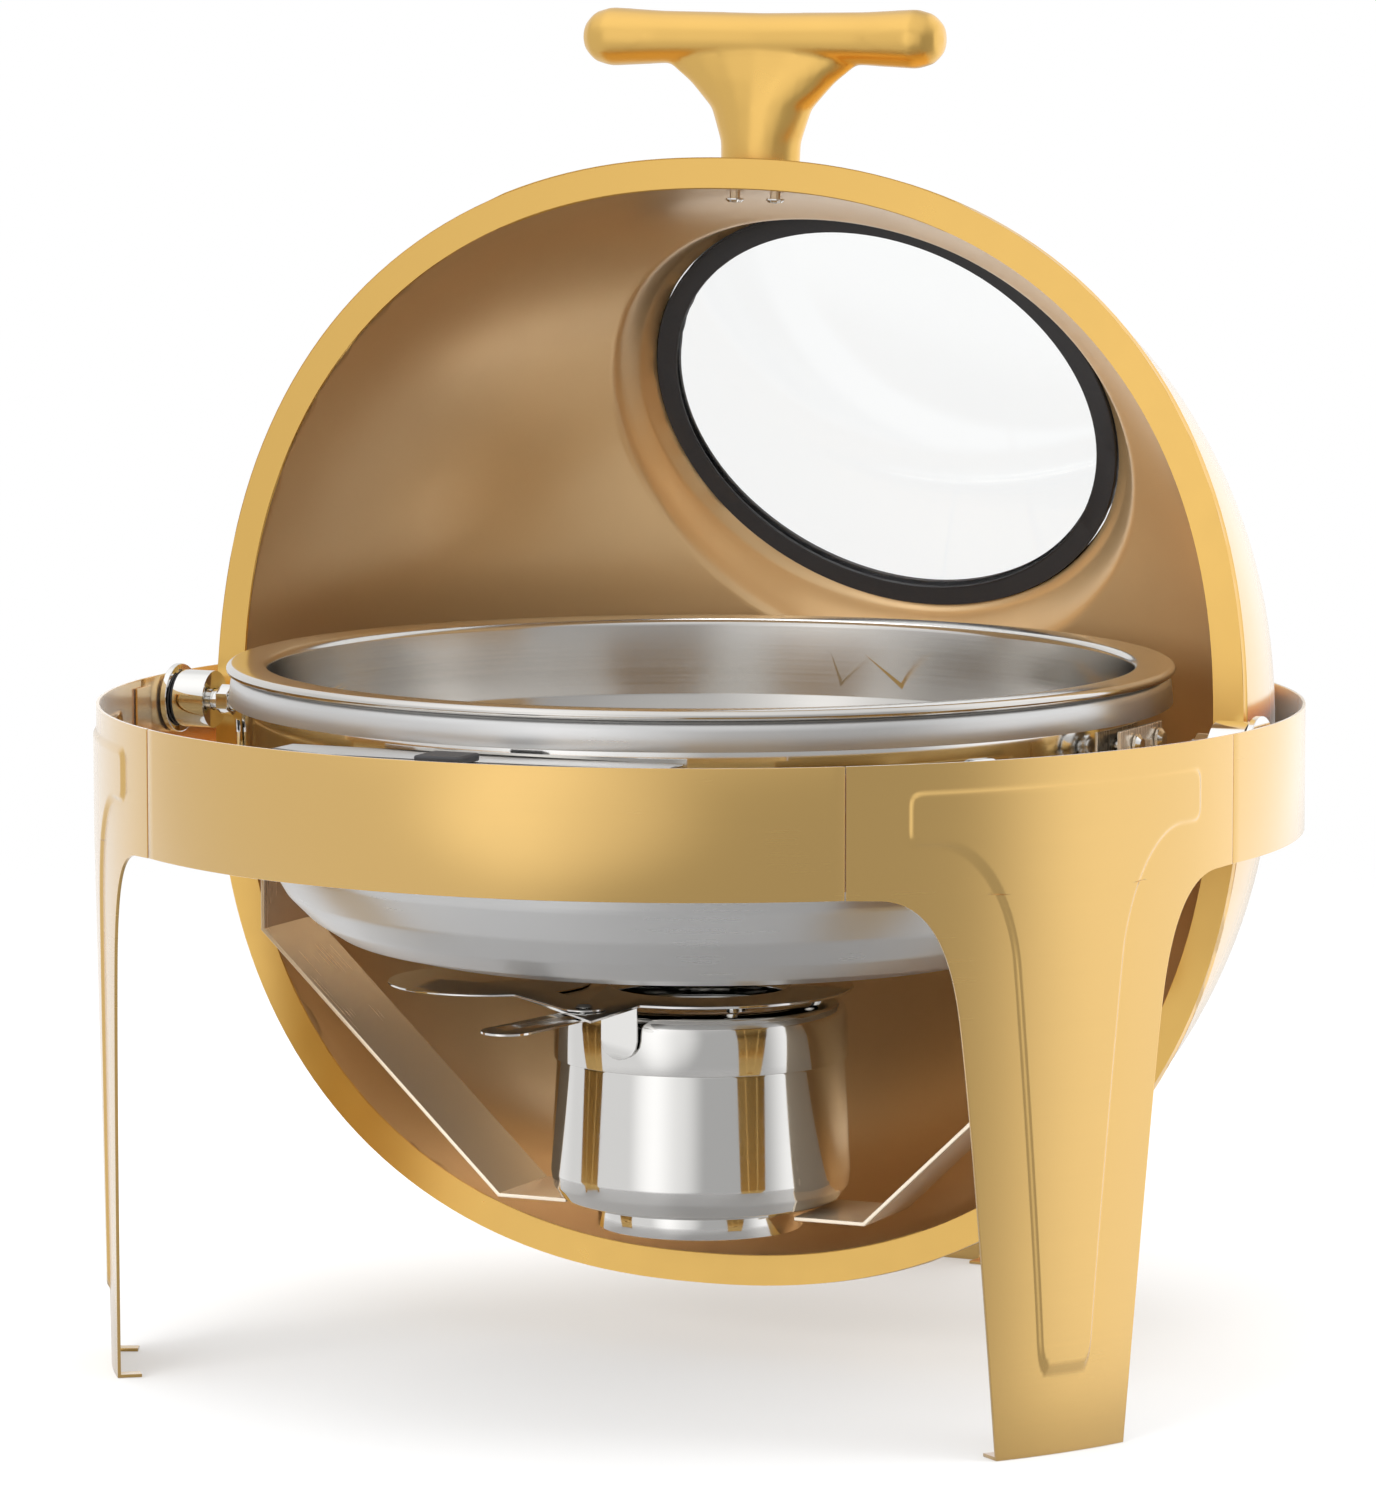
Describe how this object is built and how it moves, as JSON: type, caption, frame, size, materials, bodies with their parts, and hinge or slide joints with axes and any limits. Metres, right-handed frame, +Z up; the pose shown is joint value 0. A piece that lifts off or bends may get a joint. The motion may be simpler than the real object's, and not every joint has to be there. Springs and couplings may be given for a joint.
{
  "type": "roll top chafer",
  "caption": "Round roll-top chafing dish: gold three-legged ring stand, domed lid with round window on side pivots, lift-out pans and a fuel holder with a swing damper below.",
  "frame": {"origin": "on the floor under the middle of the ring", "axes": "+Z up, -Y towards the front, +X to the right of someone serving from the front"},
  "size_m": [0.4582, 0.4643, 0.5131],
  "materials": {
    "satin_gold": "satin gold plating over stainless steel sheet",
    "polished_steel": "polished stainless steel",
    "satin_steel": "satin stainless steel",
    "black_rubber": "matt black moulded rubber",
    "clear_glass": "clear tempered glass"
  },
  "bodies": {
    "stand": {"front_band": "satin_gold", "left_rear_band": "satin_gold", "right_rear_band": "satin_gold", "left_leg": "satin_gold", "right_leg": "satin_gold", "rear_leg": "satin_gold", "left_leg_seam_strap_near": "satin_gold", "left_leg_seam_strap_far": "satin_gold", "right_leg_seam_strap_near": "satin_gold", "right_leg_seam_strap_far": "satin_gold", "rear_leg_seam_strap_near": "satin_gold", "rear_leg_seam_strap_far": "satin_gold", "left_pivot_pin": "polished_steel", "right_pivot_pin": "polished_steel", "left_pivot_washer": "black_rubber", "right_pivot_washer": "black_rubber", "left_pin_nut": "polished_steel", "right_pin_nut": "polished_steel", "pan_hoop": "polished_steel", "left_fuel_arm": "polished_steel", "right_fuel_arm": "polished_steel", "left_front_arm_bolt": "polished_steel", "left_rear_arm_bolt": "polished_steel", "right_front_arm_bolt": "polished_steel", "right_rear_arm_bolt": "polished_steel", "left_pan_bracket": "polished_steel", "right_pan_bracket": "polished_steel", "front_rest_plate": "polished_steel", "rest_pad": "black_rubber"},
    "lid": {"lid_shell": "satin_gold", "lid_liner": "satin_steel", "lid_rim": "satin_gold", "window_gasket": "black_rubber", "window_glass": "clear_glass", "lid_handle": "satin_gold", "left_handle_screw": "polished_steel", "right_handle_screw": "polished_steel", "left_lid_hinge": "polished_steel", "right_lid_hinge": "polished_steel", "left_lower_hinge_rivet": "polished_steel", "left_upper_hinge_rivet": "polished_steel", "right_lower_hinge_rivet": "polished_steel", "right_upper_hinge_rivet": "polished_steel"},
    "water_pan": {"water_pan": "satin_steel"},
    "food_pan": {"food_pan": "satin_steel"},
    "fuel_holder": {"fuel_cup": "polished_steel", "foot_ring": "polished_steel"},
    "fuel_cover": {"fuel_cap": "polished_steel", "flame_plate": "polished_steel"},
    "damper": {"damper_disc": "polished_steel", "damper_lever": "polished_steel", "damper_rivet": "polished_steel"}
  },
  "joints": [
    {"name": "lid_roll", "type": "hinge", "parent": "stand", "child": "lid", "pos_m": [0, 0, 0.2429], "axis": [1, 0, 0], "range_deg": [0, 93.4]},
    {"name": "water_pan_lift", "type": "slide", "parent": "stand", "child": "water_pan", "axis": [0, 0, 1], "range_m": [0, 0.02]},
    {"name": "food_pan_lift", "type": "slide", "parent": "water_pan", "child": "food_pan", "axis": [0, 0, 1], "range_m": [0, 0.045]},
    {"name": "fuel_holder_slide", "type": "slide", "parent": "stand", "child": "fuel_holder", "axis": [0, -1, 0], "range_m": [0, 0.15]},
    {"name": "fuel_cover_lift", "type": "slide", "parent": "fuel_holder", "child": "fuel_cover", "axis": [0, 0, 1], "range_m": [0, 0.011]},
    {"name": "damper_swing", "type": "hinge", "parent": "fuel_cover", "child": "damper", "pos_m": [-0.012, -0.0782, 0.1424], "axis": [0, 0, 1], "range_deg": [-61.4, 0]}
  ]
}
